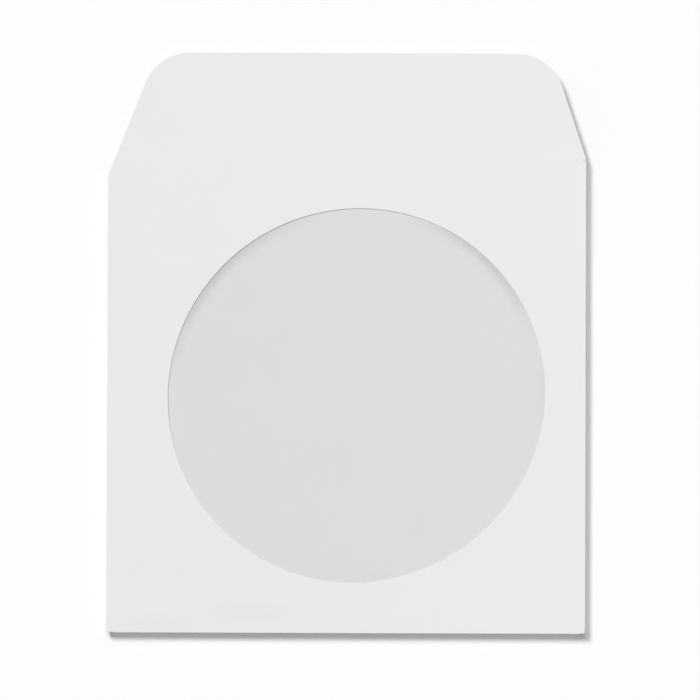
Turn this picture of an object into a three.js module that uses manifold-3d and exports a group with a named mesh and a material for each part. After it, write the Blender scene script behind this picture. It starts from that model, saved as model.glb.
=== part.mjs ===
// An empty window sleeve for a compact disc: one die-cut paper blank, folded and glued into a flat
// pocket with its flap left open, and a patch of clear film glued behind the round window.
// Millimetres. It lies on its back panel, +Z up, window side up, with the flap towards +Y.
// Left and right are as seen from above with the flap at the top.

import * as THREE from "three";
import { mergeVertices } from "three/addons/utils/BufferGeometryUtils.js";
import Module from "manifold-3d";

// Paper and pocket
const PAPER_THICKNESS = 0.15;
const SLEEVE_WIDTH = 127; // over the two side folds
const SLEEVE_HEIGHT = 127; // from the bottom fold to the flap's crease
const POCKET_DEPTH = 2.2; // clear height between the back panel and the front panel
const BOTTOM_CORNER_RADIUS = 0.4;

// Flap
const FLAP_DEPTH = 28; // from its crease to its free edge
const FLAP_LEFT_INSET = 13.1; // from the left fold to where the slanted cut meets the free edge
const FLAP_RIGHT_INSET = 9.4;
const FLAP_LEFT_SLANT_DEG = 21.4; // of the slanted cut, from the line of the side fold
const FLAP_RIGHT_SLANT_DEG = 18.3;
const FLAP_CORNER_RADIUS = 12.7;
const CREASE_WIDTH = 0.8; // of the line pressed into the flap's inner face
const CREASE_DEPTH = 0.05;
const CREASE_END_MARGIN = 2; // from where the side folds start to curve to the crease's ends

// Window, by the paper left around it
const WINDOW_LEFT_MARGIN = 16.15;
const WINDOW_RIGHT_MARGIN = 10.85;
const WINDOW_BOTTOM_MARGIN = 13.5;

// Film patch
const FILM_THICKNESS = 0.04;
const FILM_GLUE_MARGIN = 6; // film glued to the paper all round the window

// Glue tabs and back panel
const TAB_WIDTH = 9.5; // from the side fold to the tab's free edge
const TAB_END_TAPER = 5; // by how much each slanted end shortens the free edge
const BACK_EDGE_INSET = 0.3; // from where a side fold starts to curve to the back panel's edge
const THROAT_DROP = 8; // from the flap's crease to the back panel's upper edge
const THROAT_CORNER_RADIUS = 5;
const FOLD_RELIEF = 0.3; // notch between the bottom fold and each side fold

// Fineness of the curves
const WINDOW_SEGMENTS = 144;
const FOLD_SEGMENTS = 8; // for each quarter of a fold
const CORNER_SEGMENTS = 12;

// Heights above the surface that the sleeve lies on
const TOP = POCKET_DEPTH + 2 * PAPER_THICKNESS;
const FRONT_INNER_FACE = TOP - PAPER_THICKNESS;

// Folds, by the radius of their outer face. The bottom fold wraps the whole pocket, and each side
// fold brings its tab down onto the back panel.
const BOTTOM_FOLD_RADIUS = TOP / 2;
const SIDE_FOLD_RADIUS = (TOP - PAPER_THICKNESS) / 2;

// Plan, measured from the sleeve's centre line and from the bottom fold
const HALF_WIDTH = SLEEVE_WIDTH / 2;
const LENGTH = SLEEVE_HEIGHT + FLAP_DEPTH;
const FLAT_HALF_WIDTH = HALF_WIDTH - SIDE_FOLD_RADIUS; // where the front panel starts to curve down
const BACK_HALF_WIDTH = FLAT_HALF_WIDTH - BACK_EDGE_INSET;
const THROAT = SLEEVE_HEIGHT - THROAT_DROP;
const SIDE_FOLD_START = BOTTOM_FOLD_RADIUS + FOLD_RELIEF;
const WINDOW_RADIUS = (SLEEVE_WIDTH - WINDOW_LEFT_MARGIN - WINDOW_RIGHT_MARGIN) / 2;
const WINDOW_X = (WINDOW_LEFT_MARGIN - WINDOW_RIGHT_MARGIN) / 2;
const WINDOW_Y = WINDOW_BOTTOM_MARGIN + WINDOW_RADIUS;

// Cutting tools reach past the paper by this much, and a fold runs on into the front panel by it
const OVERRUN = 1;

const QUARTER_TURN = Math.PI / 2;

const wasm = await Module();
wasm.setup();

// The slanted cut on one side of the flap, side being 1 on the right and -1 on the left.
function flapCut(side) {
  const right = side > 0;
  const slant = THREE.MathUtils.degToRad(right ? FLAP_RIGHT_SLANT_DEG : FLAP_LEFT_SLANT_DEG);
  const inset = right ? FLAP_RIGHT_INSET : FLAP_LEFT_INSET;
  const shoulder = LENGTH - inset / Math.tan(slant);
  return {
    slant,
    shoulder, // where the cut meets the side fold
    foldEnd: shoulder + SIDE_FOLD_RADIUS / Math.tan(slant), // where it leaves the fold's curve
    tip: side * (HALF_WIDTH - inset), // where it would meet the free edge
  };
}

// A closed geometry as a solid that can be joined and cut.
function solidOf(geometry) {
  geometry.deleteAttribute("normal");
  geometry.deleteAttribute("uv");
  const merged = mergeVertices(geometry);
  return new wasm.Manifold(
    new wasm.Mesh({
      numProp: 3,
      vertProperties: merged.attributes.position.array,
      triVerts: new Uint32Array(merged.index.array),
    }),
  );
}

// A solid as a geometry that three.js can draw.
function geometryOf(solid) {
  const { vertProperties, triVerts } = solid.getMesh();
  const geometry = new THREE.BufferGeometry();
  geometry.setAttribute("position", new THREE.BufferAttribute(vertProperties, 3));
  geometry.setIndex(new THREE.BufferAttribute(triVerts, 1));
  geometry.computeVertexNormals();
  return geometry;
}

// A plan outline with thickness, from height low to height high.
function plate(outline, low, high) {
  const geometry = new THREE.ExtrudeGeometry(outline, {
    depth: high - low,
    bevelEnabled: false,
    curveSegments: CORNER_SEGMENTS,
  });
  geometry.translate(0, 0, low);
  return solidOf(geometry);
}

// A section drawn in (inward, up) and run along a fold line, from start for the length given.
// Inward is the horizontal direction across the sleeve, and the run goes to its right-hand side.
function runAlong(section, start, inward, length) {
  const up = new THREE.Vector3(0, 0, 1);
  const along = new THREE.Vector3().crossVectors(inward, up);
  const geometry = new THREE.ExtrudeGeometry(section, {
    depth: length,
    bevelEnabled: false,
    curveSegments: FOLD_SEGMENTS,
  });
  geometry.applyMatrix4(new THREE.Matrix4().makeBasis(inward, up, along).setPosition(start));
  return solidOf(geometry);
}

// The section of paper folded back under the front panel: a short lap in the front panel, the half
// turn of the fold, and the layer under it, which lies at height bottom and reaches inward to reach.
function foldSection(radius, bottom, reach) {
  const innerRadius = radius - PAPER_THICKNESS;
  const axis = bottom + radius;
  const section = new THREE.Shape();
  section.moveTo(radius + OVERRUN, axis + radius);
  section.absarc(radius, axis, radius, QUARTER_TURN, 3 * QUARTER_TURN, false);
  section.lineTo(reach, bottom);
  section.lineTo(reach, bottom + PAPER_THICKNESS);
  section.absarc(radius, axis, innerRadius, 3 * QUARTER_TURN, QUARTER_TURN, true);
  section.lineTo(radius + OVERRUN, axis + innerRadius);
  section.closePath();
  return section;
}

// The front panel and the flap as far as they are flat. The two bottom corners stay flat, because
// the blank is notched there between the bottom fold and the side folds.
function frontOutline() {
  const right = flapCut(1);
  const left = flapCut(-1);
  const rightCentre = right.tip - cornerSetback(right.slant);
  const leftCentre = left.tip + cornerSetback(left.slant);
  const arcHeight = LENGTH - FLAP_CORNER_RADIUS;
  const corner = BOTTOM_CORNER_RADIUS;
  const outline = new THREE.Shape();
  outline.moveTo(-BACK_HALF_WIDTH, 0);
  outline.lineTo(-BACK_HALF_WIDTH, BOTTOM_FOLD_RADIUS);
  outline.lineTo(BACK_HALF_WIDTH, BOTTOM_FOLD_RADIUS);
  outline.lineTo(BACK_HALF_WIDTH, 0);
  outline.absarc(HALF_WIDTH - corner, corner, corner, -QUARTER_TURN, 0, false);
  outline.lineTo(HALF_WIDTH, SIDE_FOLD_START);
  outline.lineTo(FLAT_HALF_WIDTH, SIDE_FOLD_START);
  outline.lineTo(FLAT_HALF_WIDTH, right.foldEnd);
  outline.absarc(rightCentre, arcHeight, FLAP_CORNER_RADIUS, right.slant, QUARTER_TURN, false);
  outline.absarc(leftCentre, arcHeight, FLAP_CORNER_RADIUS, QUARTER_TURN, Math.PI - left.slant, false);
  outline.lineTo(-FLAT_HALF_WIDTH, left.foldEnd);
  outline.lineTo(-FLAT_HALF_WIDTH, SIDE_FOLD_START);
  outline.lineTo(-HALF_WIDTH, SIDE_FOLD_START);
  outline.absarc(corner - HALF_WIDTH, corner, corner, Math.PI, 3 * QUARTER_TURN, false);
  outline.closePath();
  return outline;
}

// How far a rounded flap corner's centre lies in from the tip that the rounding takes off.
function cornerSetback(slant) {
  return FLAP_CORNER_RADIUS * Math.tan((QUARTER_TURN - slant) / 2);
}

// The die-cut edge of a glue tab and its side fold: the flap's slanted cut runs on over the fold,
// and the tab's two ends slant in towards its free edge.
function tabOutline(side) {
  const { shoulder, foldEnd } = flapCut(side);
  const free = HALF_WIDTH - TAB_WIDTH;
  return new THREE.Shape(
    [
      [HALF_WIDTH, SIDE_FOLD_START],
      [HALF_WIDTH, shoulder],
      [FLAT_HALF_WIDTH, foldEnd],
      [free, shoulder - TAB_END_TAPER],
      [free, SIDE_FOLD_START + TAB_END_TAPER],
    ].map(([x, y]) => new THREE.Vector2(side * x, y)),
  );
}

// The back panel with its rounded throat corners, down to the bottom fold.
function backOutline() {
  const radius = THROAT_CORNER_RADIUS;
  const outline = new THREE.Shape();
  outline.moveTo(-BACK_HALF_WIDTH, 0);
  outline.lineTo(BACK_HALF_WIDTH, 0);
  outline.absarc(BACK_HALF_WIDTH - radius, THROAT - radius, radius, 0, QUARTER_TURN, false);
  outline.absarc(radius - BACK_HALF_WIDTH, THROAT - radius, radius, QUARTER_TURN, Math.PI, false);
  outline.closePath();
  return outline;
}

// The punched hole of the window, through the front panel only.
function windowPunch() {
  const punch = new THREE.CylinderGeometry(
    WINDOW_RADIUS,
    WINDOW_RADIUS,
    2 * (TOP - BOTTOM_FOLD_RADIUS),
    WINDOW_SEGMENTS,
  );
  punch.rotateX(QUARTER_TURN);
  punch.translate(WINDOW_X, WINDOW_Y, TOP);
  return solidOf(punch);
}

// The line pressed into the flap's inner face, where it will fold over.
function creaseTool() {
  const end = FLAT_HALF_WIDTH - CREASE_END_MARGIN;
  const section = new THREE.Shape([
    new THREE.Vector2(-CREASE_WIDTH / 2, 0),
    new THREE.Vector2(0, -CREASE_DEPTH),
    new THREE.Vector2(CREASE_WIDTH / 2, 0),
    new THREE.Vector2(0, CREASE_DEPTH),
  ]);
  const start = new THREE.Vector3(-end, SLEEVE_HEIGHT, FRONT_INNER_FACE);
  return runAlong(section, start, new THREE.Vector3(0, 1, 0), 2 * end);
}

// The windowed front panel with its flap.
function frontPanel() {
  return plate(frontOutline(), FRONT_INNER_FACE, TOP).subtract(windowPunch()).subtract(creaseTool());
}

// One side fold with the glue tab behind it.
function glueTab(side) {
  const section = foldSection(SIDE_FOLD_RADIUS, PAPER_THICKNESS, TAB_WIDTH);
  const start = new THREE.Vector3(side * HALF_WIDTH, side > 0 ? 0 : LENGTH, 0);
  const inward = new THREE.Vector3(-side, 0, 0);
  return runAlong(section, start, inward, LENGTH).intersect(plate(tabOutline(side), 0, TOP + OVERRUN));
}

// The bottom fold with the back panel behind it.
function backPanel() {
  const section = foldSection(BOTTOM_FOLD_RADIUS, 0, THROAT);
  const start = new THREE.Vector3(-BACK_HALF_WIDTH, 0, 0);
  const inward = new THREE.Vector3(0, 1, 0);
  return runAlong(section, start, inward, 2 * BACK_HALF_WIDTH).intersect(
    plate(backOutline(), -OVERRUN, TOP + OVERRUN),
  );
}

// The folded blank. The back panel's inner face meets the tabs' outer faces, where it is glued.
function paperSleeve() {
  const folded = frontPanel().add(glueTab(1)).add(glueTab(-1)).add(backPanel());
  const paper = new THREE.MeshStandardMaterial({ color: 0xededed, roughness: 0.9, metalness: 0 });
  const mesh = new THREE.Mesh(geometryOf(folded), paper);
  mesh.name = "paper_sleeve";
  return mesh;
}

// The clear film patch, glued flat against the front panel's inner face around the window.
function windowFilm() {
  const side = 2 * (WINDOW_RADIUS + FILM_GLUE_MARGIN);
  const film = new THREE.MeshStandardMaterial({
    color: 0xf4f6f7,
    roughness: 0.12,
    metalness: 0,
    transparent: true,
    opacity: 0.25,
  });
  const mesh = new THREE.Mesh(new THREE.BoxGeometry(side, side, FILM_THICKNESS), film);
  mesh.name = "window_film";
  mesh.position.set(WINDOW_X, WINDOW_Y, FRONT_INNER_FACE - FILM_THICKNESS / 2);
  return mesh;
}

// The origin is on the surface below the middle of the sleeve with its flap open.
const sleeve = new THREE.Group();
sleeve.position.set(0, -LENGTH / 2, 0);
sleeve.add(paperSleeve(), windowFilm());

export default sleeve;
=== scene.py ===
"""An empty window sleeve for a compact disc, lying on its back with its flap open.

The paper is one die-cut blank. It is cut flat, as a mesh, and a Geometry Nodes tree then folds
it: the glue tabs behind the front panel at both sides, and the back panel up from the bottom. A
patch of clear film sits behind the round window. Sizes are millimetres until a mesh is made.
"""

import logging
import math
from dataclasses import dataclass, field
from enum import Enum
from typing import Union

import bpy
import numpy as np
from mathutils import Matrix, Vector
from mathutils.geometry import delaunay_2d_cdt


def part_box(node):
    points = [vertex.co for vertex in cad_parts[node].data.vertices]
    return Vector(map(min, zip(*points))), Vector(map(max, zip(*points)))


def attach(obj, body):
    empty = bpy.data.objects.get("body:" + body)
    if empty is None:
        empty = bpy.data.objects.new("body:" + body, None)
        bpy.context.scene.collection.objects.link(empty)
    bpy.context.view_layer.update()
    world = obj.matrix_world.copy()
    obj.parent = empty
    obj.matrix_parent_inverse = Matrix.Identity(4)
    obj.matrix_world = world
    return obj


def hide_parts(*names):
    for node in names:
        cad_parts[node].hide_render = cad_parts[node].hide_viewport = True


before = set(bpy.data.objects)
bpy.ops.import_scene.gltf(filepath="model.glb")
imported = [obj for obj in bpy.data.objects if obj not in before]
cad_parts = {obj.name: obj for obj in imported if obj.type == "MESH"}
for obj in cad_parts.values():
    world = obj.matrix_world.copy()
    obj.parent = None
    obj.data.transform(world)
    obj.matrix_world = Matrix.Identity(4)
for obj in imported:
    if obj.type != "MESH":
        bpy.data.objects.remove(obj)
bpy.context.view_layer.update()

LOG = logging.getLogger("sleeve")

MM = 0.001  # in metres
HALF_TURN = math.pi
QUARTER_TURN = math.pi / 2
EQUAL_SIDED_HEIGHT = math.sin(math.radians(60))  # of a triangle whose sides are 1
SHARP_DEG = 40.0  # an edge that turns by more is shaded as a sharp one
TINY = 1e-6  # a shorter length counts as none
WHITE = (1.0, 1.0, 1.0, 1.0)

Socket = bpy.types.NodeSocket
Value = Union[Socket, float, int]
Points = np.ndarray


class Side(Enum):
    """A side of the sleeve, by the sign of x there."""

    LEFT = -1
    RIGHT = 1


class Step(Enum):
    """How a ramp runs between its two ends."""

    STRAIGHT = "LINEAR"
    SMOOTH = "SMOOTHSTEP"


@dataclass
class Wiring:
    """Adds nodes to one tree and links them, so that each step of a rule is one call.

    Attributes:
        tree: The node tree that is added to.
    """

    tree: bpy.types.NodeTree

    def add(
        self, kind: str, inputs: dict[Union[str, int], object], **settings: object
    ) -> bpy.types.Node:
        """Adds one node.

        Args:
            kind: The node's type in Blender.
            inputs: Socket or constant for each input, by its name or number.
            **settings: The node's own properties.

        Returns:
            The new node.
        """
        node = self.tree.nodes.new(kind)
        for name, value in settings.items():
            setattr(node, name, value)
        for key, value in inputs.items():
            if isinstance(value, Socket):
                self.tree.links.new(value, node.inputs[key])
            else:
                node.inputs[key].default_value = value
        return node

    def math(self, operation: str, *values: Value) -> Socket:
        """The result of one Math node on the values, in their order."""
        return self.add("ShaderNodeMath", dict(enumerate(values)), operation=operation).outputs[0]

    def total(self, *values: Value) -> Socket:
        """Adds values up.

        Args:
            *values: The values, two or more.

        Returns:
            Their sum.
        """
        result = values[0]
        for value in values[1:]:
            result = self.math("ADD", result, value)
        return result

    def product(self, *values: Value) -> Socket:
        """Multiplies values.

        Args:
            *values: The values, two or more.

        Returns:
            Their product.
        """
        result = values[0]
        for value in values[1:]:
            result = self.math("MULTIPLY", result, value)
        return result

    def minus(self, value: Value, other: Value) -> Socket:
        """The first value less the other."""
        return self.math("SUBTRACT", value, other)

    def over(self, value: Value, other: Value) -> Socket:
        """The first value divided by the other."""
        return self.math("DIVIDE", value, other)

    def beyond(self, value: Value, limit: Value) -> Socket:
        """How far a value is beyond a limit, and 0 where it isn't."""
        return self.math("MAXIMUM", self.minus(value, limit), 0.0)

    def length(self, x: Value, y: Value) -> Socket:
        """The length of a flat vector."""
        return self.math("SQRT", self.total(self.product(x, x), self.product(y, y)))

    def ramp(self, value: Value, start: Value, end: Value, step: Step = Step.SMOOTH) -> Socket:
        """A ramp that follows a value, and is level outside its two ends.

        Args:
            value: The value.
            start: Where the ramp is 0.
            end: Where it is 1, above or below start.
            step: How it runs in between.

        Returns:
            The ramp's height.
        """
        node = self.add(
            "ShaderNodeMapRange",
            {"Value": value, "From Min": start, "From Max": end},
            interpolation_type=step.value,
        )
        return node.outputs["Result"]

    def split(self, vector: Socket) -> tuple[Socket, Socket, Socket]:
        """The three parts of a vector."""
        outputs = self.add("ShaderNodeSeparateXYZ", {0: vector}).outputs
        return outputs[0], outputs[1], outputs[2]

    def join(self, x: Value, y: Value, z: Value) -> Socket:
        """A vector of three parts."""
        return self.add("ShaderNodeCombineXYZ", {0: x, 1: y, 2: z}).outputs[0]

    def grey(self, shade: Value) -> Socket:
        """The grey of a shade."""
        parts = {"Red": shade, "Green": shade, "Blue": shade}
        return self.add("ShaderNodeCombineColor", parts).outputs["Color"]


def new_material(name: str) -> tuple[bpy.types.Material, Wiring]:
    """Starts a material that is made of nodes.

    Args:
        name: Its name.

    Returns:
        The material, with Blender's usual nodes, and the wiring of its tree.
    """
    material = bpy.data.materials.new(name)
    material.use_nodes = True
    return material, Wiring(material.node_tree)


def new_object(name: str, data: bpy.types.ID) -> bpy.types.Object:
    """Puts a new object in the scene.

    Args:
        name: Its name.
        data: The mesh, light or camera that it is.

    Returns:
        The object, at the origin.
    """
    thing = bpy.data.objects.new(name, data)
    bpy.context.scene.collection.objects.link(thing)
    return thing


@dataclass(frozen=True)
class Smudge:
    """A soft oval mark on the front panel.

    Attributes:
        centre_mm: Its centre, in x and y.
        reach_mm: How far it reaches from there, in x and y.
        core: Share of its reach within which it is strongest.
        above_mm: Height above which a place is on the front panel.
    """

    centre_mm: tuple[float, float]
    reach_mm: tuple[float, float]
    core: float = 0.2
    above_mm: float = 2.0

    def strength(self, wiring: Wiring, place: Socket) -> Socket:
        """How strong the mark is at a place.

        Args:
            wiring: The tree in which it is worked out.
            place: The place, in the object's own coordinates.

        Returns:
            1 in the mark's middle, falling to 0 at its reach.
        """
        x, y, z = wiring.split(place)
        across = wiring.over(wiring.minus(x, self.centre_mm[0] * MM), self.reach_mm[0] * MM)
        along = wiring.over(wiring.minus(y, self.centre_mm[1] * MM), self.reach_mm[1] * MM)
        on_front = wiring.math("GREATER_THAN", z, self.above_mm * MM)
        return wiring.product(wiring.ramp(wiring.length(across, along), 1.0, self.core), on_front)


@dataclass(frozen=True)
class PaperFinish:
    """Uncoated white paper: cloudy in its formation, with short fibres and smudges, and painted
    shade to the lower left.

    Attributes:
        shade: Reflectance of the clean sheet.
        cloud_mm: Size of the clouds in the sheet.
        cloud_depth: How much darker the clouds are, as a share.
        fibre_mm: Width and length of the fibres.
        fibre_depth: How much darker the fibres are, as a share.
        painted_shade_depth: How much darker the lower left is painted than the upper right, as a
            share.
        painted_shade_reach_mm: Distance from the middle at which that painted shade is complete.
        painted_shade_tilt: How much y counts beside x in it.
        smudge_depth: How much darker the smudges are, as a share.
        smudges: The smudges.
        grain_mm: Size of the grain in the smudges and in the surface's tooth.
        noise_roughness: How strong the noises' finer parts are.
        gloss: Strength of the surface's reflection.
        roughness: Mean roughness.
        roughness_swing: By how much the fibres change it.
        tooth_mm: Height of the surface's tooth.
        tooth_strength: How strongly the tooth turns the surface.
        tooth_fibres: Share of the tooth that comes from the fibres.
    """

    shade: float = 0.827
    cloud_mm: float = 9.0
    cloud_depth: float = 0.016
    fibre_mm: tuple[float, float] = (0.16, 0.9)
    fibre_depth: float = 0.012
    painted_shade_depth: float = 0.030
    painted_shade_reach_mm: float = 85.0
    painted_shade_tilt: float = 0.55
    smudge_depth: float = 0.022
    smudges: tuple[Smudge, Smudge] = (
        Smudge((-24.0, -72.2), (14.0, 4.6)),
        Smudge((-49.5, -75.0), (11.0, 3.4)),
    )
    grain_mm: float = 2.2
    noise_roughness: float = 0.55
    gloss: float = 0.25
    roughness: float = 0.88
    roughness_swing: float = 0.12
    tooth_mm: float = 0.004
    tooth_strength: float = 0.6
    tooth_fibres: float = 0.7

    def _noise(
        self, wiring: Wiring, place: Socket, size_mm: tuple[float, float, float], detail: float
    ) -> Socket:
        """Noise in the sheet.

        Args:
            wiring: The tree in which it is worked out.
            place: The place, in the object's own coordinates.
            size_mm: Size of its grains along x, y and z.
            detail: Number of finer layers that are added to it.

        Returns:
            Its level, from 0 to 1.
        """
        mapping = wiring.add(
            "ShaderNodeMapping", {"Vector": place, "Scale": [1 / (MM * size) for size in size_mm]}
        )
        noise = wiring.add(
            "ShaderNodeTexNoise",
            {
                "Vector": mapping.outputs[0],
                "Scale": 1.0,
                "Detail": detail,
                "Roughness": self.noise_roughness,
            },
        )
        return noise.outputs["Fac"]

    def material(self) -> bpy.types.Material:
        """Builds the material.

        Returns:
            The paper material.
        """
        paper, wiring = new_material("white_paper")
        links = wiring.tree.links
        shader = wiring.tree.nodes["Principled BSDF"]
        place = wiring.add("ShaderNodeTexCoord", {}).outputs["Object"]

        clouds = self._noise(wiring, place, (self.cloud_mm,) * 3, 3.0)
        width, length = self.fibre_mm
        upright = self._noise(wiring, place, (width, length, width), 2.0)
        level = self._noise(wiring, place, (length, width, width), 2.0)
        fibres = wiring.math("MINIMUM", upright, level)
        x, y, _ = wiring.split(place)
        # painted shade: darker towards the lower left and lighter towards the upper right, in place
        # of light that falls off across the sheet
        corner = wiring.total(x, wiring.product(y, self.painted_shade_tilt))
        painted_shade_reach = self.painted_shade_reach_mm * MM
        painted_shade = wiring.ramp(corner, painted_shade_reach, -painted_shade_reach, Step.STRAIGHT)
        grain = self._noise(wiring, place, (self.grain_mm,) * 3, 3.0)
        smudges = wiring.math("MAXIMUM", *(mark.strength(wiring, place) for mark in self.smudges))
        darker = wiring.total(
            wiring.product(clouds, self.cloud_depth),
            wiring.product(fibres, self.fibre_depth),
            wiring.product(painted_shade, self.painted_shade_depth),
            wiring.product(smudges, grain, 2 * self.smudge_depth),
        )
        shade = wiring.product(wiring.minus(1.0, darker), self.shade)
        links.new(wiring.grey(shade), shader.inputs["Base Color"])

        swing = self.roughness_swing
        rough = wiring.total(self.roughness - swing / 2, wiring.product(fibres, swing))
        links.new(rough, shader.inputs["Roughness"])
        shader.inputs["Specular IOR Level"].default_value = self.gloss
        tooth = wiring.total(
            wiring.product(fibres, self.tooth_fibres), wiring.product(grain, 1 - self.tooth_fibres)
        )
        bump = wiring.add(
            "ShaderNodeBump",
            {"Height": tooth, "Distance": self.tooth_mm * MM, "Strength": self.tooth_strength},
        )
        links.new(bump.outputs["Normal"], shader.inputs["Normal"])
        return paper


@dataclass(frozen=True)
class FilmFinish:
    """Clear film with a slight haze and gloss, and painted shadow in two arcs just inside the
    window's rim.

    Attributes:
        centre_mm: The window's centre, in x and y.
        radius_mm: The window's mean radius.
        skew_mm: How much further than that its rim is at 45 degrees, and nearer at 135 degrees.
        clear: Share of the light that each face lets through.
        haze: Share of each face that scatters light.
        haze_colour: Colour of the haze.
        refraction: Refractive index, which sets the gloss.
        roughness: Mean roughness of the gloss.
        roughness_swing: By how much the ripples change it.
        ripple_mm: Height of the ripples in the film.
        ripples_per_metre: How close together the ripples are.
        rim_shadow_depth: How much darker the painted shadow makes the film, as a share.
        rim_shadow_reach_mm: How far the painted shadow reaches in from the rim.
        rim_shadow_arcs_deg: Middle and spread of each arc of painted shadow.
    """

    centre_mm: tuple[float, float]
    radius_mm: float
    skew_mm: float
    clear: float = 0.965
    haze: float = 0.02
    haze_colour: tuple[float, float, float, float] = (0.86, 0.87, 0.87, 1.0)
    refraction: float = 1.49
    roughness: float = 0.09
    roughness_swing: float = 0.06
    ripple_mm: float = 0.05
    ripples_per_metre: float = 45.0
    rim_shadow_depth: float = 0.055
    rim_shadow_reach_mm: float = 3.4
    rim_shadow_arcs_deg: tuple[tuple[float, float], tuple[float, float]] = ((138.0, 44.0), (47.0, 34.0))

    @staticmethod
    def _arc(wiring: Wiring, angle: Socket, middle_deg: float, spread_deg: float) -> Socket:
        """1 where the angle is middle_deg, falling to 0 at spread_deg to either side."""
        off = wiring.math("ABSOLUTE", wiring.minus(angle, math.radians(middle_deg)))
        return wiring.ramp(off, math.radians(spread_deg), 0.0)

    def _painted_rim_shadow(self, wiring: Wiring, place: Socket) -> Socket:
        """Where the painted shadow of the rim is.

        Args:
            wiring: The tree in which it is worked out.
            place: The place, in the object's own coordinates.

        Returns:
            1 at the rim in the middle of each arc, falling to 0 where there is no painted shadow.
        """
        x, y, _ = wiring.split(place)
        across = wiring.minus(x, self.centre_mm[0] * MM)
        along = wiring.minus(y, self.centre_mm[1] * MM)
        angle = wiring.math("ARCTAN2", along, across)
        skew = wiring.product(wiring.math("SINE", wiring.product(angle, 2.0)), self.skew_mm * MM)
        rim = wiring.total(skew, self.radius_mm * MM)
        inward = wiring.minus(rim, wiring.length(across, along))
        arcs = (self._arc(wiring, angle, *arc) for arc in self.rim_shadow_arcs_deg)
        edge = wiring.ramp(inward, self.rim_shadow_reach_mm * MM, 0.0)
        return wiring.product(wiring.math("MAXIMUM", *arcs), edge)

    def material(self) -> bpy.types.Material:
        """Builds the material.

        Returns:
            The film material.
        """
        film, wiring = new_material("clear_film")
        tree = wiring.tree
        tree.nodes.remove(tree.nodes["Principled BSDF"])
        place = wiring.add("ShaderNodeTexCoord", {}).outputs["Object"]

        # painted shadow: the film lets less light through in two arcs just inside the rim, in place
        # of the shade that the rim casts behind it
        darker = wiring.product(self._painted_rim_shadow(wiring, place), self.rim_shadow_depth)
        through = wiring.minus(self.clear, darker)
        ripple = wiring.add(
            "ShaderNodeTexNoise",
            {"Vector": place, "Scale": self.ripples_per_metre, "Detail": 2.0, "Roughness": 0.5},
        )
        bump = wiring.add(
            "ShaderNodeBump",
            {"Height": ripple.outputs["Fac"], "Distance": self.ripple_mm * MM, "Strength": 1.0},
        )
        swing = self.roughness_swing
        gloss_rough = wiring.total(
            self.roughness - swing / 2, wiring.product(ripple.outputs["Fac"], swing)
        )
        clear = wiring.add("ShaderNodeBsdfTransparent", {"Color": wiring.grey(through)})
        haze = wiring.add("ShaderNodeBsdfDiffuse", {"Color": self.haze_colour})
        sheet = wiring.add(
            "ShaderNodeMixShader", {"Fac": self.haze, 1: clear.outputs[0], 2: haze.outputs[0]}
        )
        gloss = wiring.add(
            "ShaderNodeBsdfAnisotropic",
            {"Color": WHITE, "Roughness": gloss_rough, "Normal": bump.outputs["Normal"]},
        )
        fresnel = wiring.add("ShaderNodeFresnel", {"IOR": self.refraction})
        backs = wiring.add("ShaderNodeNewGeometry", {}).outputs["Backfacing"]
        shine = wiring.product(fresnel.outputs[0], wiring.minus(1.0, backs))
        surface = wiring.add(
            "ShaderNodeMixShader", {"Fac": shine, 1: sheet.outputs[0], 2: gloss.outputs[0]}
        )
        tree.links.new(surface.outputs[0], tree.nodes["Material Output"].inputs["Surface"])
        return film


@dataclass(frozen=True)
class FloorFinish:
    """A plain pale floor.

    Attributes:
        shade: How bright the camera sees it.
        bounce: Its reflectance for the light that it throws back on the object.
    """

    shade: float = 0.957
    bounce: float = 0.70

    def material(self) -> bpy.types.Material:
        """Builds the material.

        Returns:
            The floor material.
        """
        floor, wiring = new_material("pale_floor")
        tree = wiring.tree
        tree.nodes.remove(tree.nodes["Principled BSDF"])
        seen = wiring.add("ShaderNodeLightPath", {}).outputs["Is Camera Ray"]
        shade = wiring.total(self.bounce, wiring.product(seen, self.shade - self.bounce))
        shader = wiring.add("ShaderNodeBsdfDiffuse", {"Color": wiring.grey(shade)})
        tree.links.new(shader.outputs[0], tree.nodes["Material Output"].inputs["Surface"])
        return floor


@dataclass(frozen=True)
class Fold:
    """The bend that takes a layer from the front panel's level down and back under it.

    The sheet turns down round the crease, runs straight for the wall, and turns level again. Radii
    are those of the sheet's middle.

    Attributes:
        drop: How far the layer behind lies below the front panel.
        crease_radius: Radius of the first turn.
        crease_turn: Angle of the first turn, in radians.
        landing_radius: Radius of the second turn.
    """

    drop: float
    crease_radius: float
    crease_turn: float
    landing_radius: float

    @property
    def wall(self) -> float:
        """Length of the straight part between the two turns."""
        crease_drop = self.crease_radius * (1 - math.cos(self.crease_turn))
        landing_drop = self.landing_radius * (1 + math.cos(self.crease_turn))
        return (self.drop - crease_drop - landing_drop) / math.sin(self.crease_turn)

    @property
    def length(self) -> float:
        """Length of sheet from where the front panel ends to where the layer behind is level."""
        crease = self.crease_radius * self.crease_turn
        return crease + self.wall + self.landing_radius * (HALF_TURN - self.crease_turn)

    @property
    def reach(self) -> float:
        """How far out the sheet is, from the fold line, where the layer behind becomes level."""
        sine, cosine = math.sin(self.crease_turn), math.cos(self.crease_turn)
        return self.crease_radius * sine + self.wall * cosine - self.landing_radius * sine

    def steps(self, turn_step: float) -> list[float]:
        """Lengths along the fold at which the blank needs a row of points.

        Args:
            turn_step: Angle between rows in the two turns, in radians.

        Returns:
            The lengths, from 0 to the fold's whole length.
        """
        rows: list[float] = []
        rest = HALF_TURN - self.crease_turn
        for start, radius, turn in (
            (0.0, self.crease_radius, self.crease_turn),
            (self.length - self.landing_radius * rest, self.landing_radius, rest),
        ):
            count = math.ceil(turn / turn_step)
            rows += [start + radius * turn * k / count for k in range(count + 1)]
        return rows


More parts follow.
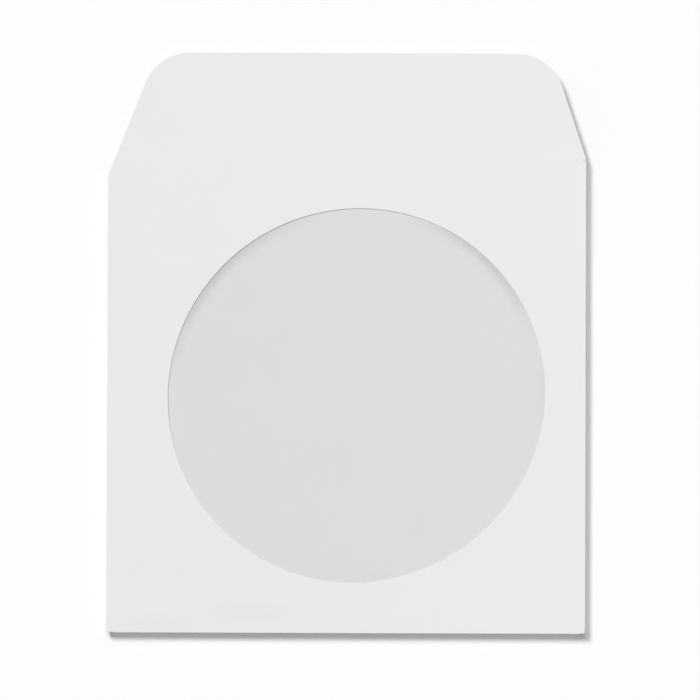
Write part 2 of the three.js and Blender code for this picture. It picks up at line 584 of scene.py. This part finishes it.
@dataclass(frozen=True)
class FlapCut:
    """The slanted cut on one side of the flap.

    Attributes:
        side: The side of the sleeve.
        inset: From the side fold to where the cut would meet the flap's free edge.
        slant_deg: Angle of the cut from the line of the side fold.
    """

    side: Side
    inset: float
    slant_deg: float

    @property
    def slant(self) -> float:
        """The slant in radians."""
        return math.radians(self.slant_deg)

    def height_at(self, distance: float, length: float) -> float:
        """Height of the cut's line at a distance in from the side fold's outermost line."""
        return length - (self.inset - distance) / math.tan(self.slant)


@dataclass
class Blank:
    """The die-cut blank, flat, with the front panel where it lies in the finished sleeve.

    Lengths are from the sleeve's centre line and from the outermost line of the bottom fold.

    Attributes:
        half_width: Half the sleeve's width.
        window_centre: Centre of the window.
        window_radius: Its mean radius.
        window_skew: How much further its rim is at 45 degrees, and nearer at 135 degrees.
        side_line: Distance of each side fold's start from the centre line.
        bottom_line: Height at which the bottom fold starts.
        side_fold: The side folds.
        bottom_fold: The bottom fold.
        height: From the bottom fold to the flap's crease.
        flap_depth: From the crease to the flap's free edge.
        cuts: The flap's slanted cuts, right and left.
        flap_corner: Radius of the flap's corners.
        tab_width: From a side fold to the tab's free edge, in the finished sleeve.
        tab_taper: By how much each slanted end shortens the tab's free edge.
        tab_foot: By how much more its lower end shortens it.
        relief: How far a side fold stays clear of the corner at each of its ends.
        back_half_width: Half the back panel's width.
        throat: Height of the back panel's upper edge in the finished sleeve.
        throat_corner: Radius of its corners.
        spacing: Distance between points inside the panels.
        turn_step: Angle between rows of points in a fold.
        crisp: Distance from a fold's start to the last row of points in the panel beside it.
        lip_rows: Distances from a side fold's start to the rows that shape the lip there.
        crease_row: Distance from the flap's crease to the row of points on each side of it.
        row_gap: Least distance between a row's points and the outline.
        grid_gap: Least distance between a panel's points and the outline, as a share of spacing.
        fold_margin: Distance beside a fold in which there are only rows of points.
        crease_margin: The same for the flap's crease.
        window_points: Number of points round the window.
        flap_corner_steps: Number of steps round each of the flap's corners.
        throat_corner_steps: Number of steps round each of the back panel's corners.
    """

    half_width: float
    window_centre: tuple[float, float]
    window_radius: float
    window_skew: float
    side_line: float
    bottom_line: float
    side_fold: Fold
    bottom_fold: Fold
    height: float = 127.0
    flap_depth: float = 28.0
    cuts: tuple[FlapCut, FlapCut] = (FlapCut(Side.RIGHT, 9.4, 18.3), FlapCut(Side.LEFT, 13.1, 21.4))
    flap_corner: float = 12.7
    tab_width: float = 9.5
    tab_taper: float = 5.0
    tab_foot: float = 1.0
    relief: float = 0.6
    back_half_width: float = 62.0
    throat: float = 119.0
    throat_corner: float = 5.0
    spacing: float = 2.2
    turn_step: float = math.radians(15)
    crisp: float = 0.1
    lip_rows: tuple[float, float] = (0.8, 0.4)
    crease_row: float = 0.5
    row_gap: float = 0.06
    grid_gap: float = 0.5
    fold_margin: float = 1.0
    crease_margin: float = 1.4
    window_points: int = 180
    flap_corner_steps: int = 16
    throat_corner_steps: int = 8

    @property
    def length(self) -> float:
        """From the bottom fold to the flap's free edge."""
        return self.height + self.flap_depth

    @property
    def tab_end(self) -> float:
        """Distance of a tab's free edge from the centre line, in the flat blank."""
        free = self.half_width - self.tab_width
        level = self.side_line + self.side_fold.reach - free
        return self.side_line + self.side_fold.length + level

    @property
    def back_end(self) -> float:
        """Height of the back panel's free edge in the flat blank, below the front panel."""
        level = self.throat - self.bottom_line + self.bottom_fold.reach
        return self.bottom_line - self.bottom_fold.length - level

    @staticmethod
    def _arc(
        centre: tuple[float, float], radius: float, start: float, end: float, count: int
    ) -> list[tuple[float, float]]:
        """Points of an arc, both ends included."""
        return [
            (centre[0] + radius * math.cos(a), centre[1] + radius * math.sin(a))
            for a in np.linspace(start, end, count + 1)
        ]

    def _side_edge(self, cut: FlapCut) -> list[tuple[float, float]]:
        """The edge of one side, from the bottom fold up to the flap's free edge.

        Args:
            cut: The flap's cut on that side.

        Returns:
            The corners as pairs of x and y.
        """
        fold_end = self.side_line + self.side_fold.length
        cut_start = cut.height_at(self.half_width - self.side_line, self.length)
        shoulder = cut.height_at(0.0, self.length)
        setback = self.flap_corner * math.tan((QUARTER_TURN - cut.slant) / 2)
        centre = (self.half_width - cut.inset - setback, self.length - self.flap_corner)
        edge = [
            (self.side_line, self.bottom_line),
            (fold_end, self.bottom_line + self.relief),
            (self.tab_end, self.bottom_line + self.tab_foot + self.tab_taper),
            (self.tab_end, shoulder - self.tab_taper),
            (fold_end, shoulder - self.relief),
            (self.side_line + self.side_fold.crease_radius * QUARTER_TURN, shoulder),
            (self.side_line, cut_start),
        ]
        steps = self.flap_corner_steps
        edge += self._arc(centre, self.flap_corner, cut.slant, QUARTER_TURN, steps)
        return [(cut.side.value * x, y) for x, y in edge]

    def outline(self) -> Points:
        """The blank's outline, anticlockwise.

        Returns:
            The corners as rows of x and y.
        """
        right, left = (self._side_edge(cut) for cut in self.cuts)
        corner = self.throat_corner
        centre = (self.back_half_width - corner, self.back_end + corner)
        fold_foot = self.bottom_line - self.bottom_fold.length
        back = [(self.back_half_width, self.bottom_line), (self.back_half_width, fold_foot)]
        back += self._arc(centre, corner, 0.0, -QUARTER_TURN, self.throat_corner_steps)
        mirrored_back = [(-x, y) for x, y in back]
        return np.array(back[::-1] + right + left[::-1] + mirrored_back)

    def window(self) -> Points:
        """The window's edge, anticlockwise.

        Returns:
            Its points as rows of x and y.
        """
        turn = np.linspace(0.0, 2 * HALF_TURN, self.window_points, endpoint=False)
        radius = self.window_radius + self.window_skew * np.sin(2 * turn)
        return np.column_stack([np.cos(turn), np.sin(turn)]) * radius[:, None] + self.window_centre

    @staticmethod
    def _dense(loop: Points, spacing: float) -> Points:
        """Adds points to a closed loop.

        Args:
            loop: The loop's corners.
            spacing: Length that no edge of the result exceeds.

        Returns:
            The loop with the added points.
        """
        out: list[Points] = []
        for start, end in zip(loop, np.roll(loop, -1, axis=0)):
            count = max(1, math.ceil(float(np.linalg.norm(end - start)) / spacing))
            out += [start + (end - start) * k / count for k in range(count)]
        return np.array(out)

    @staticmethod
    def _inside(points: Points, loop: Points) -> np.ndarray:
        """Which of the points lie inside a closed loop.

        Args:
            points: Rows of x and y.
            loop: The loop's corners.

        Returns:
            True for each point inside.
        """
        inside = np.zeros(len(points), bool)
        for (x0, y0), (x1, y1) in zip(loop, np.roll(loop, -1, axis=0)):
            if y0 == y1:
                continue
            crosses = (points[:, 1] < y0) != (points[:, 1] < y1)
            at = x0 + (points[:, 1] - y0) / (y1 - y0) * (x1 - x0)
            inside ^= crosses & (points[:, 0] < at)
        return inside

    @staticmethod
    def _clear_of(points: Points, loop: Points, gap: float) -> Points:
        """Leaves out the points that are too near a loop.

        Args:
            points: Rows of x and y.
            loop: Corners of the loop, which are close together.
            gap: Distance from every corner that a point must exceed.

        Returns:
            The points that are left.
        """
        keep = np.ones(len(points), bool)
        for corner in loop:
            keep &= np.hypot(*(points - corner).T) > gap
        return points[keep]

    def _rows(self) -> list[Points]:
        """Rows of points along the folds and the flap's crease.

        Returns:
            One array for each row, which may reach past the blank's outline.
        """
        rows: list[Points] = []
        heights = np.arange(self.bottom_line, self.length, self.spacing)
        beside = [-row for row in self.lip_rows] + [-self.crisp]
        for step in beside + self.side_fold.steps(self.turn_step):
            for side in Side:
                x = side.value * (self.side_line + step)
                rows.append(np.column_stack([np.full(len(heights), x), heights]))
        across = np.arange(-self.half_width, self.half_width, self.spacing)
        for step in [-self.crisp] + self.bottom_fold.steps(self.turn_step):
            rows.append(np.column_stack([across, np.full(len(across), self.bottom_line - step)]))
        for offset in (-self.crease_row, 0.0, self.crease_row):
            rows.append(np.column_stack([across, np.full(len(across), self.height + offset)]))
        return rows

    def _grid(self) -> Points:
        """The corners of equal-sided triangles over the whole blank, but not along the folds.

        Returns:
            The corners as rows of x and y, some of them outside the blank's outline.
        """
        row_pitch = self.spacing * EQUAL_SIDED_HEIGHT
        xs = np.arange(-self.tab_end, self.tab_end, self.spacing)
        ys = np.arange(self.back_end, self.length, row_pitch)
        shift = self.spacing / 2
        grid = np.array([(x + (j % 2) * shift, y) for j, y in enumerate(ys) for x in xs])
        past_side = np.abs(grid[:, 0]) - self.side_line
        past_bottom = self.bottom_line - grid[:, 1]
        margin = self.fold_margin
        folded = (past_side > -margin) & (past_side < self.side_fold.length + margin)
        folded |= (past_bottom > -margin) & (past_bottom < self.bottom_fold.length + margin)
        folded |= np.abs(grid[:, 1] - self.height) < self.crease_margin
        return grid[~folded]

    def mesh(self, name: str) -> bpy.types.Mesh:
        """Cuts the blank as a flat mesh of well-shaped triangles at height 0.

        Args:
            name: Name of the mesh.

        Returns:
            The mesh, in metres, placed so that the finished sleeve's middle is at the origin.
        """
        outline = self._dense(self.outline(), self.spacing)
        window = self.window()
        rows = np.concatenate(self._rows())
        inner = []
        for points, gap in ((rows, self.row_gap), (self._grid(), self.grid_gap * self.spacing)):
            points = points[self._inside(points, outline) & ~self._inside(points, window)]
            points = self._clear_of(points, outline, gap)
            inner.append(self._clear_of(points, window, gap))
        corners = [Vector(corner) for corner in np.concatenate([outline, window, *inner])]
        edges = []
        for start, count in ((0, len(outline)), (len(outline), len(window))):
            edges += [(start + k, start + (k + 1) % count) for k in range(count)]
        verts, _, faces, *_ = delaunay_2d_cdt(corners, edges, [], 0, TINY)
        flat = np.array([v[:] for v in verts])
        triangles = np.array([face[:] for face in faces])
        middles = flat[triangles].mean(axis=1)
        kept = triangles[self._inside(middles, outline) & ~self._inside(middles, window)]
        used, kept = np.unique(kept, return_inverse=True)
        placed = np.zeros((len(used), 3))
        placed[:, :2] = (flat[used] - [0.0, self.length / 2]) * MM
        mesh = bpy.data.meshes.new(name)
        mesh.from_pydata(placed.tolist(), [], kept.reshape(-1, 3).tolist())
        mesh.update()
        return mesh


@dataclass
class Relief:
    """The slight waviness of the front panel, which the film behind its window shares.

    Attributes:
        half_width: Half the sleeve's width.
        bottom: The bottom fold's y in the finished sleeve.
        height: Half the waves' height.
        wave: Length of the waves.
        finer: How strong the waves' finer parts are.
        fade: Distance from the folds over which the waves set in.
    """

    half_width: float
    bottom: float
    height: float = 0.08
    wave: float = 55.0
    finer: float = 0.4
    fade: float = 14.0

    def lift(self, wiring: Wiring, x: Socket, y: Socket) -> Socket:
        """How far the front panel is raised at a place.

        Args:
            wiring: The tree in which it is worked out.
            x: Place across the sleeve.
            y: Place along it.

        Returns:
            The height, in metres.
        """
        noise = wiring.add(
            "ShaderNodeTexNoise",
            {
                "Vector": wiring.join(x, y, 0.0),
                "Scale": 1 / (self.wave * MM),
                "Detail": 1.0,
                "Roughness": self.finer,
            },
        ).outputs[0]
        centred = wiring.minus(noise, 0.5)
        from_side = wiring.minus(self.half_width * MM, wiring.math("ABSOLUTE", x))
        from_bottom = wiring.minus(y, self.bottom * MM)
        reach = self.fade * MM
        fade = wiring.product(
            wiring.ramp(from_side, 0.0, reach), wiring.ramp(from_bottom, 0.0, reach)
        )
        return wiring.product(centred, fade, 2 * self.height * MM)


def new_geometry_tree(
    name: str, values: dict[str, object]
) -> tuple[Wiring, bpy.types.NodeOutputs, bpy.types.Node]:
    """Starts a Geometry Nodes tree with one geometry in and one out, and named inputs.

    Args:
        name: Name of the tree.
        values: Each named input's value, which is a number or a material.

    Returns:
        The tree's wiring, its inputs and its output node.
    """
    tree = bpy.data.node_groups.new(name, "GeometryNodeTree")
    tree.is_modifier = True
    for in_out in ("INPUT", "OUTPUT"):
        tree.interface.new_socket("Geometry", in_out=in_out, socket_type="NodeSocketGeometry")
    for key, value in values.items():
        kind = "NodeSocketMaterial" if isinstance(value, bpy.types.Material) else "NodeSocketFloat"
        tree.interface.new_socket(key, in_out="INPUT", socket_type=kind)
    source, sink = tree.nodes.new("NodeGroupInput"), tree.nodes.new("NodeGroupOutput")
    return Wiring(tree), source.outputs, sink


def lay_and_dress(
    wiring: Wiring, sink: bpy.types.Node, sheet: Socket, place: Socket, material: Socket
) -> None:
    """Ends a tree: puts a sheet's points in their places, smooths it and gives it its material.

    Args:
        wiring: The tree.
        sink: The tree's output node.
        sheet: The sheet.
        place: The new place of each of its points.
        material: The material.
    """
    moved = wiring.add("GeometryNodeSetPosition", {"Geometry": sheet, "Position": place})
    smooth = wiring.add("GeometryNodeSetShadeSmooth", {"Geometry": moved.outputs[0]})
    whole = wiring.add("GeometryNodeRealizeInstances", {"Geometry": smooth.outputs[0]})
    dressed = wiring.add(
        "GeometryNodeSetMaterial", {"Geometry": whole.outputs[0], "Material": material}
    )
    wiring.tree.links.new(dressed.outputs[0], sink.inputs[0])


def make_piece(
    name: str,
    mesh: bpy.types.Mesh,
    tree: bpy.types.NodeTree,
    values: dict[str, object],
    thickness: float,
) -> bpy.types.Object:
    """Runs a tree on a mesh, gives the sheet its thickness and keeps the plain result.

    Args:
        name: Name of the piece.
        mesh: The mesh that the tree starts from.
        tree: The Geometry Nodes tree.
        values: Each named input's value.
        thickness: Thickness of the sheet, in metres.

    Returns:
        The piece, at the origin and without modifiers.
    """
    raw = new_object(name + "_raw", mesh)
    rule = raw.modifiers.new("rule", "NODES")
    rule.node_group = tree
    identifiers = {
        item.name: item.identifier
        for item in tree.interface.items_tree
        if item.item_type == "SOCKET" and item.in_out == "INPUT"
    }
    for key, value in values.items():
        rule[identifiers[key]] = value
    sheet = raw.modifiers.new("thickness", "SOLIDIFY")
    sheet.thickness = thickness
    sheet.offset = 0.0
    sheet.use_even_offset = True
    evaluated = raw.evaluated_get(bpy.context.evaluated_depsgraph_get())
    plain = bpy.data.meshes.new_from_object(evaluated)
    plain.name = name
    bpy.data.objects.remove(raw)
    plain.set_sharp_from_angle(angle=math.radians(SHARP_DEG))
    return new_object(name, plain)


@dataclass
class PaperSleeve:
    """The folded and glued paper.

    Attributes:
        low: Lowest corner of the sleeve's box, in millimetres.
        high: Highest corner.
        window_centre: Centre of the window, from the centre line and the bottom fold.
        window_radius: Its mean radius.
        window_skew: How much further its rim is at 45 degrees, and nearer at 135 degrees.
        thickness: The paper's thickness.
        crease_radius: Outer radius of the folds' upper turn.
        crease_turn_deg: Angle through which the sheet turns there.
        landing_radius: Outer radius of the folds' lower turn.
        glue: Thickness of the dried glue between the tabs and the back panel.
        bow: How far the back panel bows in towards the front panel.
        bow_left: Where that sets in at the left and where it is complete, in x.
        bow_right: The same at the right.
        bow_foot: The same above the bottom fold, in height above it.
        behind_share: Share of the front panel's height past which a fold is at the layers behind.
        crease_height: Height of the ridge at the flap's crease.
        crease_width: Half the ridge's width.
        lip_height: By how much the front panel turns up at most along the right fold.
        lip_width: Width of the strip that turns up.
        lip_wave: Distance over which it comes and goes.
        lip_onset: Levels of the noise, from 0 to 1, between which it sets in.
        finish: The paper's finish.
    """

    low: Vector
    high: Vector
    window_centre: tuple[float, float] = (2.65, 63.5)
    window_radius: float = 50.0
    window_skew: float = 0.45
    thickness: float = 0.15
    crease_radius: float = 0.2
    crease_turn_deg: float = 104.0
    landing_radius: float = 0.5
    glue: float = 0.02
    bow: float = 2.14
    bow_left: tuple[float, float] = (-61.0, -46.0)
    bow_right: tuple[float, float] = (61.5, 51.0)
    bow_foot: tuple[float, float] = (2.0, 15.0)
    behind_share: float = 0.8
    crease_height: float = 0.008
    crease_width: float = 0.45
    lip_height: float = 0.05
    lip_width: float = 0.8
    lip_wave: float = 30.0
    lip_onset: tuple[float, float] = (0.35, 0.6)
    finish: PaperFinish = field(default_factory=PaperFinish)

    @property
    def half_width(self) -> float:
        """Half the sleeve's width."""
        return (self.high.x - self.low.x) / 2

    @property
    def front_middle(self) -> float:
        """Height of the middle of the front panel's thickness."""
        return self.high.z - self.thickness / 2

    def fold(self, layers_below: int) -> Fold:
        """A fold whose layer lies on a number of other layers.

        Args:
            layers_below: 0 for the back panel, which lies at the bottom, and 1 for the tabs.

        Returns:
            The fold.
        """
        raised = self.thickness / 2 + layers_below * (self.thickness + self.glue)
        return Fold(
            drop=self.front_middle - raised,
            crease_radius=self.crease_radius - self.thickness / 2,
            crease_turn=math.radians(self.crease_turn_deg),
            landing_radius=self.landing_radius - self.thickness / 2,
        )

    def blank(self) -> Blank:
        """The flat blank for this sleeve."""
        return Blank(
            half_width=self.half_width,
            window_centre=self.window_centre,
            window_radius=self.window_radius,
            window_skew=self.window_skew,
            side_line=self.half_width - self.crease_radius,
            bottom_line=self.crease_radius,
            side_fold=self.fold(1),
            bottom_fold=self.fold(0),
        )

    @staticmethod
    def _folded(
        wiring: Wiring, distance: Socket, radius: Value, turn: Value, wall: Value, landing: Value
    ) -> tuple[Socket, Socket]:
        """Where the sheet is, at a distance past a fold's start.

        Args:
            wiring: The tree.
            distance: Length of sheet past the fold's start, 0 or more.
            radius: Radius of the first turn.
            turn: Angle of the first turn.
            wall: Length of the straight part.
            landing: Radius of the second turn.

        Returns:
            How far out from the fold's start it is, and how far down.
        """
        first = wiring.product(radius, turn)
        second = wiring.product(landing, wiring.minus(HALF_TURN, turn))
        angle = wiring.over(wiring.math("MINIMUM", distance, first), radius)
        past_crease = wiring.beyond(distance, first)
        straight = wiring.math("MINIMUM", past_crease, wall)
        past_wall = wiring.beyond(past_crease, wall)
        last = wiring.total(turn, wiring.over(wiring.math("MINIMUM", past_wall, second), landing))
        level = wiring.beyond(past_wall, second)
        sine, cosine = wiring.math("SINE", turn), wiring.math("COSINE", turn)
        out = wiring.total(
            wiring.product(radius, wiring.math("SINE", angle)),
            wiring.product(straight, cosine),
            wiring.product(landing, wiring.minus(wiring.math("SINE", last), sine)),
            wiring.product(level, -1.0),
        )
        down = wiring.total(
            wiring.product(radius, wiring.minus(1.0, wiring.math("COSINE", angle))),
            wiring.product(straight, sine),
            wiring.product(landing, wiring.minus(cosine, wiring.math("COSINE", last))),
        )
        return out, down

    def _bowed(self, wiring: Wiring, x: Socket, y: Socket) -> Socket:
        """How far the back panel bows in at a place.

        Args:
            wiring: The tree.
            x: Place across the finished sleeve.
            y: Place along it.

        Returns:
            0 along the folds, rising to 1 behind the window.
        """
        left = wiring.ramp(x, *(place * MM for place in self.bow_left))
        right = wiring.ramp(x, *(place * MM for place in self.bow_right))
        above = wiring.ramp(y, *((self.low.y + place) * MM for place in self.bow_foot))
        return wiring.product(left, right, above)

    def _lip(
        self, wiring: Wiring, given: bpy.types.NodeOutputs, x: Socket, y: Socket, down: Socket
    ) -> Socket:
        """How far the sheet is raised where it turns up, here and there, along the right fold.

        Args:
            wiring: The tree.
            given: The tree's named inputs.
            x: Place across the flat blank.
            y: Place along it.
            down: How far down the fold takes the sheet there.

        Returns:
            The height.
        """
        start = wiring.minus(given["Side fold line"], given["Lip width"])
        turned_up = wiring.ramp(x, start, given["Side fold line"])
        in_fold = wiring.ramp(down, 0.0, given["Front height"], Step.STRAIGHT)
        along = wiring.add(
            "ShaderNodeTexNoise",
            {"Vector": wiring.join(0.0, y, 0.0), "Scale": 1 / (self.lip_wave * MM), "Detail": 1.0},
        ).outputs[0]
        here = wiring.ramp(along, *self.lip_onset)
        return wiring.product(turned_up, wiring.minus(1.0, in_fold), here, given["Lip height"])

    def tree(self, relief: Relief, values: dict[str, object]) -> bpy.types.NodeTree:
        """Builds the tree that folds the blank.

        Args:
            relief: The front panel's waviness.
            values: The tree's named inputs and what they will be set to.

        Returns:
            The tree.
        """
        wiring, given, sink = new_geometry_tree("fold_blank", values)
        x, y, _ = wiring.split(wiring.add("GeometryNodeInputPosition", {}).outputs[0])
        side_line, bottom_line = given["Side fold line"], given["Bottom fold line"]
        front = given["Front height"]
        side = wiring.math("SIGN", x)
        width = wiring.math("ABSOLUTE", x)
        beside = wiring.beyond(width, side_line)
        below = wiring.beyond(bottom_line, y)
        turns, landing = (given["Crease radius"], given["Crease turn"]), given["Landing radius"]
        side_out, side_down = self._folded(wiring, beside, *turns, given["Side wall"], landing)
        low_out, low_down = self._folded(wiring, below, *turns, given["Bottom wall"], landing)
        inner_width = wiring.math("MINIMUM", width, side_line)
        new_x = wiring.product(side, wiring.total(inner_width, side_out))
        new_y = wiring.minus(wiring.math("MAXIMUM", y, bottom_line), low_out)
        down = wiring.total(side_down, low_down)
        is_behind = wiring.math("GREATER_THAN", down, wiring.product(front, self.behind_share))
        is_front = wiring.math("LESS_THAN", down, TINY)
        bent_in = wiring.product(is_behind, self._bowed(wiring, new_x, new_y))
        lift = relief.lift(wiring, new_x, new_y)
        bowed = wiring.product(bent_in, wiring.total(given["Bow"], lift))
        waved = wiring.product(is_front, lift)
        from_crease = wiring.math("ABSOLUTE", wiring.minus(y, given["Flap crease"]))
        crest = wiring.ramp(from_crease, self.crease_width * MM, 0.0)
        ridge = wiring.product(is_front, crest, given["Crease height"])
        lip = self._lip(wiring, given, x, y, down)
        new_z = wiring.minus(wiring.total(front, bowed, waved, ridge, lip), down)
        place = wiring.join(new_x, new_y, new_z)
        lay_and_dress(wiring, sink, given["Geometry"], place, given["Material"])
        return wiring.tree

    def build(self, relief: Relief) -> bpy.types.Object:
        """Builds and dresses the folded paper.

        Args:
            relief: The front panel's waviness.

        Returns:
            The piece.
        """
        blank = self.blank()
        bottom = self.low.y
        values: dict[str, object] = {
            "Material": self.finish.material(),
            "Side fold line": blank.side_line * MM,
            "Bottom fold line": (bottom + blank.bottom_line) * MM,
            "Crease radius": blank.side_fold.crease_radius * MM,
            "Crease turn": blank.side_fold.crease_turn,
            "Side wall": blank.side_fold.wall * MM,
            "Bottom wall": blank.bottom_fold.wall * MM,
            "Landing radius": blank.side_fold.landing_radius * MM,
            "Front height": self.front_middle * MM,
            "Bow": self.bow * MM,
            "Flap crease": (bottom + blank.height) * MM,
            "Crease height": self.crease_height * MM,
            "Lip height": self.lip_height * MM,
            "Lip width": self.lip_width * MM,
        }
        mesh = blank.mesh("blank")
        tree = self.tree(relief, values)
        return make_piece("folded_paper", mesh, tree, values, self.thickness * MM)


@dataclass
class WindowFilm:
    """The patch of clear film behind the window.

    Attributes:
        low: Lowest corner of the patch, in millimetres.
        high: Highest corner.
        finish: The film's finish.
        glue: Thickness of the dried glue between the film and the paper.
        spacing: Distance between points.
    """

    low: Vector
    high: Vector
    finish: FilmFinish
    glue: float = 0.01
    spacing: float = 2.0

    def tree(self, relief: Relief, values: dict[str, object]) -> bpy.types.NodeTree:
        """Builds the tree that lays the film against the front panel.

        Args:
            relief: The front panel's waviness.
            values: The tree's named inputs and what they will be set to.

        Returns:
            The tree.
        """
        wiring, given, sink = new_geometry_tree("lay_film", values)
        side = given["Side"]
        count = wiring.total(wiring.over(side, given["Spacing"]), 1.0)
        points = wiring.add("FunctionNodeFloatToInt", {0: count}).outputs[0]
        grid = wiring.add(
            "GeometryNodeMeshGrid",
            {"Size X": side, "Size Y": side, "Vertices X": points, "Vertices Y": points},
        )
        x, y, _ = wiring.split(wiring.add("GeometryNodeInputPosition", {}).outputs[0])
        new_x = wiring.total(x, given["Centre across"])
        new_y = wiring.total(y, given["Centre along"])
        new_z = wiring.total(given["Height"], relief.lift(wiring, new_x, new_y))
        place = wiring.join(new_x, new_y, new_z)
        lay_and_dress(wiring, sink, grid.outputs[0], place, given["Material"])
        return wiring.tree

    def build(self, relief: Relief) -> bpy.types.Object:
        """Builds and dresses the film.

        Args:
            relief: The front panel's waviness.

        Returns:
            The piece.
        """
        middle = (self.low + self.high) / 2
        thickness = self.high.z - self.low.z
        values: dict[str, object] = {
            "Material": self.finish.material(),
            "Side": (self.high.x - self.low.x) * MM,
            "Spacing": self.spacing * MM,
            "Centre across": middle.x * MM,
            "Centre along": middle.y * MM,
            "Height": (middle.z - self.glue) * MM,
        }
        mesh = bpy.data.meshes.new("film_start")
        tree = self.tree(relief, values)
        return make_piece("clear_film", mesh, tree, values, thickness * MM)


@dataclass(frozen=True)
class Lamp:
    """A far lamp.

    Attributes:
        name: Its name.
        towards: Direction from the object to it.
        share: Share of the light on the floor that comes from it.
        spread_deg: How wide it looks from the floor.
    """

    name: str
    towards: tuple[float, float, float]
    share: float
    spread_deg: float

    def hang(self) -> bpy.types.Object:
        """Hangs the lamp.

        Returns:
            The lamp.
        """
        direction = Vector(self.towards).normalized()
        light = bpy.data.lights.new(self.name, "SUN")
        light.energy = self.share * math.pi / direction.z
        light.angle = math.radians(self.spread_deg)
        lamp = new_object(self.name, light)
        lamp.rotation_mode = "QUATERNION"
        lamp.rotation_quaternion = direction.to_track_quat("Z", "Y")
        lamp.location = direction
        return lamp


@dataclass
class Studio:
    """The floor, the lamps, the surroundings and the camera.

    Attributes:
        floor_side: Side of the floor, in metres.
        lamps: The lamps.
        around: Brightness of the surroundings as they light the object.
        target: What the camera looks at, in metres.
        elevation_deg: The camera's height above the horizon.
        view_width: Width of what the camera sees, in metres.
        roll_deg: Turn of the camera about its line of sight.
        lens: Focal length, in millimetres on Blender's standard sensor.
        clip: Nearest and furthest distance that the camera sees, in metres.
    """

    floor_side: float = 4.0
    lamps: tuple[Lamp, ...] = (
        Lamp("key", (-0.62, 0.74, 1.0), 0.52, 22.0),
        Lamp("back", (0.0, 0.42, 1.0), 0.14, 16.0),
        Lamp("top", (0.10, -0.14, 1.0), 0.12, 16.0),
    )
    around: float = 0.24
    target: tuple[float, float, float] = (0.00090, -0.00187, 0.0025)
    elevation_deg: float = 83.0
    view_width: float = 0.1856
    roll_deg: float = 0.2
    lens: float = 1500.0
    clip: tuple[float, float] = (0.1, 100.0)

    def floor(self) -> bpy.types.Object:
        """Lays the floor under the object.

        Returns:
            The floor.
        """
        half = self.floor_side / 2
        mesh = bpy.data.meshes.new("floor")
        corners = [(-half, -half, 0), (half, -half, 0), (half, half, 0), (-half, half, 0)]
        mesh.from_pydata(corners, [], [(0, 1, 2, 3)])
        mesh.materials.append(FloorFinish().material())
        floor = new_object("floor", mesh)
        return floor

    def surroundings(self) -> None:
        """Makes the surroundings white where they are seen, and dim where they light the object."""
        world = bpy.data.worlds.new("surroundings")
        world.use_nodes = True
        tree = world.node_tree
        wiring = Wiring(tree)
        rays = wiring.add("ShaderNodeLightPath", {}).outputs
        seen = wiring.math(
            "MAXIMUM",
            rays["Is Camera Ray"],
            wiring.math("MAXIMUM", rays["Is Glossy Ray"], rays["Is Transmission Ray"]),
        )
        strength = wiring.total(self.around, wiring.product(seen, 1.0 - self.around))
        background = tree.nodes["Background"]
        background.inputs["Color"].default_value = WHITE
        tree.links.new(strength, background.inputs["Strength"])
        bpy.context.scene.world = world

    def camera(self) -> None:
        """Places the camera high above the object, with a long lens."""
        data = bpy.data.cameras.new("camera")
        data.lens = self.lens
        distance = self.view_width / data.sensor_width * self.lens
        tilt = math.radians(self.elevation_deg)
        back = Vector((0.0, -math.cos(tilt), math.sin(tilt)))
        data.clip_start, data.clip_end = self.clip
        camera = new_object("camera", data)
        camera.rotation_mode = "QUATERNION"
        roll = Matrix.Rotation(math.radians(self.roll_deg), 3, "Z")
        turned = (-back).to_track_quat("-Z", "Y").to_matrix() @ roll
        camera.rotation_quaternion = turned.to_quaternion()
        camera.location = Vector(self.target) + back * distance
        bpy.context.scene.camera = camera

    def build(self) -> None:
        """Sets up the whole studio."""
        self.floor()
        for lamp in self.lamps:
            lamp.hang()
        self.surroundings()
        self.camera()
        bpy.context.scene.view_settings.view_transform = "Standard"


def node_box(node: str) -> tuple[Vector, Vector]:
    """Lowest and highest corner of a CAD node, in millimetres."""
    low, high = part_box(node)
    return Vector(low) / MM, Vector(high) / MM


def report(piece: bpy.types.Object) -> None:
    """Logs a finished piece's size.

    Args:
        piece: The piece.
    """
    piece.data.calc_loop_triangles()
    size = ", ".join(f"{side / MM:.2f}" for side in piece.dimensions)
    LOG.info("%s: %d triangles, %s mm", piece.name, len(piece.data.loop_triangles), size)


def main() -> None:
    """Builds the studio and the two pieces, hangs them under the root body and hides the CAD nodes
    that they stand for.
    """
    logging.basicConfig(level=logging.INFO, format="%(name)s: %(message)s")
    Studio().build()
    paper_low, paper_high = node_box("paper_sleeve")
    film_low, film_high = node_box("window_film")
    film_middle = (film_low + film_high) / 2

    sleeve = PaperSleeve(paper_low, paper_high)
    relief = Relief(half_width=sleeve.half_width, bottom=paper_low.y)
    paper = sleeve.build(relief)
    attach(paper, "root")
    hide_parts("paper_sleeve")
    report(paper)

    finish = FilmFinish((film_middle.x, film_middle.y), sleeve.window_radius, sleeve.window_skew)
    film = WindowFilm(film_low, film_high, finish).build(relief)
    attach(film, "root")
    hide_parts("window_film")
    report(film)


if __name__ == "__main__":
    main()
